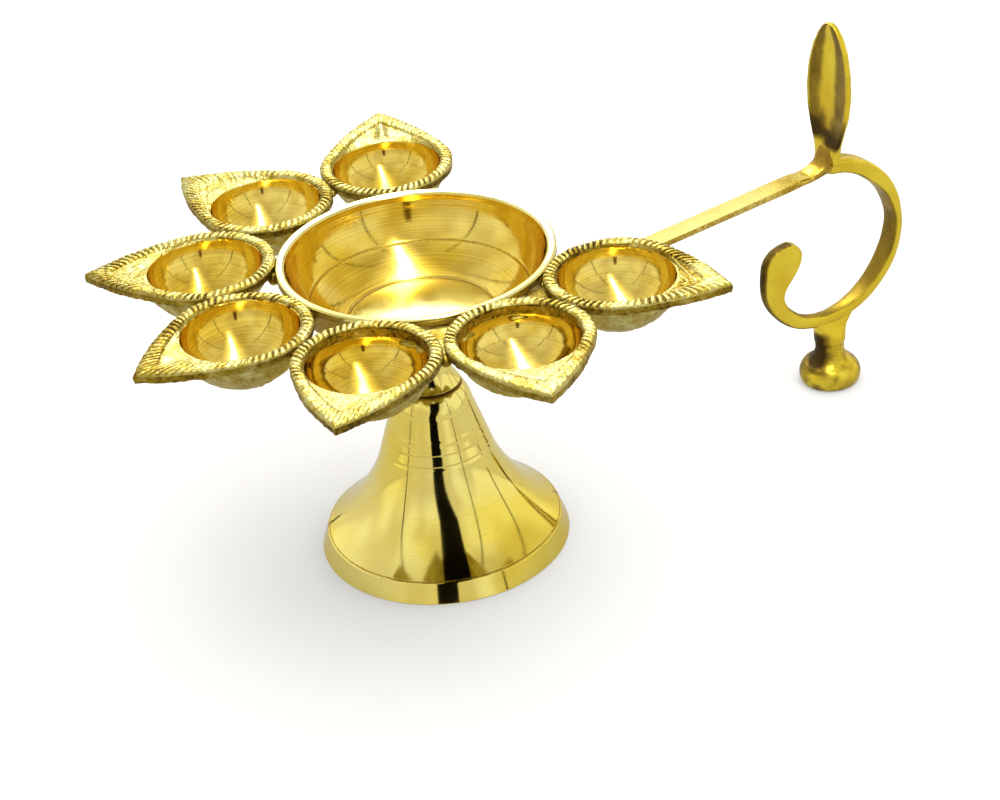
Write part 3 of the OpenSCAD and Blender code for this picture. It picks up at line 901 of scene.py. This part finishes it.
def brazing():
    shell = Shell()
    # rough metal that ran into the gaps between cups 5, 6 and 7
    for k in (4, 5):
        a = math.radians(CUP_FIRST + (k + 0.5) * CUP_PITCH)
        for r, w, deep in ((41.5, 9.5, 4.6), (46.0, 6.0, 4.0), (49.5, 3.4, 2.6)):
            lump(shell, r, 86.6, (deep, w, 1.1), a, 700 + 10 * k + int(r))
    # between the bowl and each cup
    for i in range(len(CUPS)):
        b = math.radians(CUP_FIRST + i * CUP_PITCH)
        for k in (-1, 0, 1):
            lump(shell, 37.9, 86.6 - 0.2 * abs(k), (1.5, 2.6, 1.7), b + k * 0.085, 400 + 10 * i + k)
    # between neighbouring cups
    for i in range(len(CUPS) - 1):
        a = math.radians(CUP_FIRST + (i + 0.5) * CUP_PITCH)
        for r, w in ((50.6, 1.4), (52.8, 1.2), (55.0, 1.5)):
            lump(shell, r, 87.2, (1.9, w, 1.5), a, 500 + 10 * i + int(r))
    shell.build("brazing", "head", None, "rough_cast_brass", ROUGH)


bell()
collar()
stud()
bowl()
for cup_index in range(len(CUPS)):
    wick_cup(cup_index)
handle_bar()
thumb_leaf()
handle_scroll()
scroll_foot()
brazing()


# ---------------------------------------------------------------- studio
LIGHT_TONE = (1.0, 0.99, 0.97, 1)


def plain(name, colour, strength=None, one_sided=False):
    """Plain diffuse colour, with light added if there is a strength. One-sided, it is clear from the side
    that its faces point to."""
    material = bpy.data.materials.new(name)
    material.use_nodes = True
    tree = material.node_tree
    tree.nodes.clear()
    surface = node(tree, "BsdfDiffuse", {"Color": (*colour, 1)}).outputs[0]
    if strength is not None:
        glow = node(tree, "Emission", {"Color": LIGHT_TONE, "Strength": strength})
        surface = node(tree, "AddShader", {0: surface, 1: glow.outputs[0]}).outputs[0]
    if one_sided:
        behind = node(tree, "NewGeometry").outputs["Backfacing"]
        clear = node(tree, "BsdfTransparent").outputs[0]
        surface = node(tree, "MixShader", {0: behind, 1: clear, 2: surface}).outputs[0]
    node(tree, "OutputMaterial", {"Surface": surface})
    return material


def soft_light(name, strength):
    """Light added to what is behind it, as strong as the mesh's own value glow says."""
    material = bpy.data.materials.new(name)
    material.use_nodes = True
    tree = material.node_tree
    tree.nodes.clear()
    level = maths(tree, "MULTIPLY", attribute(tree, "glow"), strength)
    shine = node(tree, "Emission", {"Color": LIGHT_TONE, "Strength": level}).outputs[0]
    clear = node(tree, "BsdfTransparent", {"Color": (1, 1, 1, 1)}).outputs[0]
    surface = node(tree, "AddShader", {0: clear, 1: shine}).outputs[0]
    node(tree, "OutputMaterial", {"Surface": surface})
    return material


def staged(name, points, faces, material):
    """A mesh of the studio, in metres."""
    mesh = bpy.data.meshes.new(name)
    mesh.from_pydata(points, [], faces)
    mesh.materials.append(material)
    made = bpy.data.objects.new(name, mesh)
    bpy.context.scene.collection.objects.link(made)
    return made


def for_mirrors_only(made):
    made.visible_camera = made.visible_diffuse = made.visible_shadow = made.visible_transmission = False


def floor_panel(name, colour, glow, height):
    half = 4.0
    corners = [(-half, -half, height), (half, -half, height), (half, half, height), (-half, half, height)]
    return staged(name, corners, [(0, 1, 2, 3)], plain(name, colour, glow))


def flag(name, material, rungs):
    """A dark studio flag that only mirrors see. Each rung, from the floor up, is (azimuth, distance from the
    lamp's axis, height, width)."""
    points = []
    for azimuth, distance, z, width in rungs:
        a = CAMERA_AZ + math.radians(azimuth)
        c, s = math.cos(a), math.sin(a)
        points += [(c * distance + k * s * width / 2, s * distance - k * c * width / 2, z) for k in (1, -1)]
    faces = [(k, k + 1, k + 3, k + 2) for k in range(0, len(points) - 2, 2)]
    for_mirrors_only(staged(name, points, faces, material))


def roof_light(name, radius, strength, stations):
    """A soft-edged strip of light along the tent's roof, seen by mirrors only. Each station is (elevation,
    which runs on past the zenith towards the back, offset to the camera's right, width)."""
    stations = np.array(stations)
    rows, cols = 49, 13
    fine = np.linspace(stations[0, 0], stations[-1, 0], rows)
    offset, width = (np.interp(fine, stations[:, 0], stations[:, k]) for k in (1, 2))
    e = np.radians(fine)
    c, s = math.cos(CAMERA_AZ), math.sin(CAMERA_AZ)
    across = np.array([-s, c, 0.0])
    middle = np.stack([np.cos(e) * c, np.cos(e) * s, np.sin(e)], -1) * radius
    middle = middle + across * offset[:, None] + [0, 0, 0.08]
    share = np.linspace(-1, 1, cols)
    grid = middle[:, None] + across * (width[:, None] / 2 * share)[..., None]
    along = np.linspace(0, 1, rows)
    ends = smoothstep(0, 0.14, along) * smoothstep(1, 0.93, along)
    glow = ends[:, None] * (1 - share**2) ** 2
    corner = (np.arange(rows - 1)[:, None] * cols + np.arange(cols - 1)).reshape(-1, 1)
    faces = (corner + [0, 1, cols + 1, cols]).tolist()
    made = staged(name, grid.reshape(-1, 3), faces, soft_light(name, strength))
    values = made.data.attributes.new("glow", "FLOAT", "POINT").data
    values.foreach_set("value", glow.astype(np.float32).ravel())
    for_mirrors_only(made)


def softbox(name, azimuth, elevation, distance, size, power):
    """A square area light that faces the lamp."""
    lamp = bpy.data.lights.new(name, "AREA")
    lamp.shape = "RECTANGLE"
    lamp.size = lamp.size_y = size
    lamp.energy = power
    made = bpy.data.objects.new(name, lamp)
    bpy.context.scene.collection.objects.link(made)
    a, e = CAMERA_AZ + math.radians(azimuth), math.radians(elevation)
    toward = Vector((math.cos(a) * math.cos(e), math.sin(a) * math.cos(e), math.sin(e)))
    made.location = Vector((0.0, 0.0, 0.07)) + toward * distance
    made.rotation_euler = toward.to_track_quat("Z", "Y").to_euler()
    made.visible_camera = False
    return made


BLACK = (0.004, 0.003, 0.003)
FLAG = plain("black_flag", BLACK)
BELL_FLAG = plain("black_flag_one_sided", BLACK, one_sided=True)
BROWN = plain("brown_flag", (0.10, 0.045, 0.01))

# the sheet that the camera sees, and the duller table top that the brass mirrors
sheet = floor_panel("floor_sheet", (0.80, 0.80, 0.79), 0.25, -1e-4)
sheet.visible_glossy = sheet.visible_diffuse = False
table = floor_panel("floor_table", (0.42, 0.40, 0.36), 0.38, -2e-4)
table.visible_camera = False

# what stands behind the camera is dark in the bell, and only a soft brown in the bowls; the bell's flag is
# clear from outside and above, so the cups don't mirror it
flag("flag_bell", BELL_FLAG, (
    (-4, 0.105, 0.0, 0.027), (-3, 0.105, 0.045, 0.034), (5, 0.105, 0.073, 0.046), (7, 0.045, 0.0735, 0.024),
))
flag("flag_camera", BROWN, ((3, 0.48, 0.12, 0.06), (3, 0.48, 0.32, 0.045)))
# seams between the tent's walls
for number, azimuth in enumerate((-146, -62, 45, 92, 150)):
    rungs = [(azimuth, 0.5, 0.0, 0.014), (azimuth, 0.5, 0.61, 0.014), (azimuth, 0.3, 0.8, 0.014)]
    flag(f"flag_seam_{number + 1}", FLAG, rungs)

# the tent: pale walls with folds, a duller roof, and a little less light from the camera's side
world = bpy.data.worlds.new("studio")
bpy.context.scene.world = world
world.use_nodes = True
sky = world.node_tree
way = node(sky, "TexCoord").outputs["Generated"]
height = node(sky, "SeparateXYZ", {0: way}).outputs["Z"]
roof = ranged(sky, height, 0.66, 0.95, 1.0, 0.78)
camera_side = (math.cos(CAMERA_AZ), math.sin(CAMERA_AZ), 0.0)
toward = node(sky, "VectorMath", {0: way, 1: camera_side}, operation="DOT_PRODUCT").outputs["Value"]
side = ranged(sky, toward, 0.2, 1.0, 1.0, 0.92)
folds = node(sky, "TexNoise", {"Vector": way, "Scale": 1.7, "Detail": 1.0}).outputs[0]
level = maths(sky, "MULTIPLY", roof, side)
level = maths(sky, "MULTIPLY", level, ranged(sky, folds, 0.35, 0.62, 0.82, 1.06))
# the back wall is lit from outside, above the lamp's own height
lit = maths(sky, "MULTIPLY", ranged(sky, toward, -0.35, -0.75), ranged(sky, height, 0.08, 0.22))
level = maths(sky, "MULTIPLY", ranged(sky, lit, 0.0, 1.0, 1.0, 1.12), level)
tint = mixed(sky, ranged(sky, folds, 0.36, 0.60), (1.0, 0.93, 0.80, 1), (1.0, 0.995, 0.98, 1))
sky.links.new(tint, sky.nodes["Background"].inputs["Color"])
sky.links.new(level, sky.nodes["Background"].inputs["Strength"])

roof_light("roof_light", 0.46, 15.0, (
    (50, 0.14, 0.03), (65, 0.10, 0.07), (90, 0.05, 0.10), (120, 0.02, 0.13), (154, 0.0, 0.12),
))
roof_light("roof_glow", 0.48, 1.0, (
    (44, 0.15, 0.10), (65, 0.10, 0.22), (90, 0.05, 0.32), (120, 0.02, 0.38), (154, 0.0, 0.36),
))
fill = softbox("overhead_fill", 120, 78, 1.6, 2.2, 22)
fill.visible_glossy = False

bpy.context.scene.view_settings.view_transform = "Standard"
bpy.context.scene.cycles.caustics_reflective = False
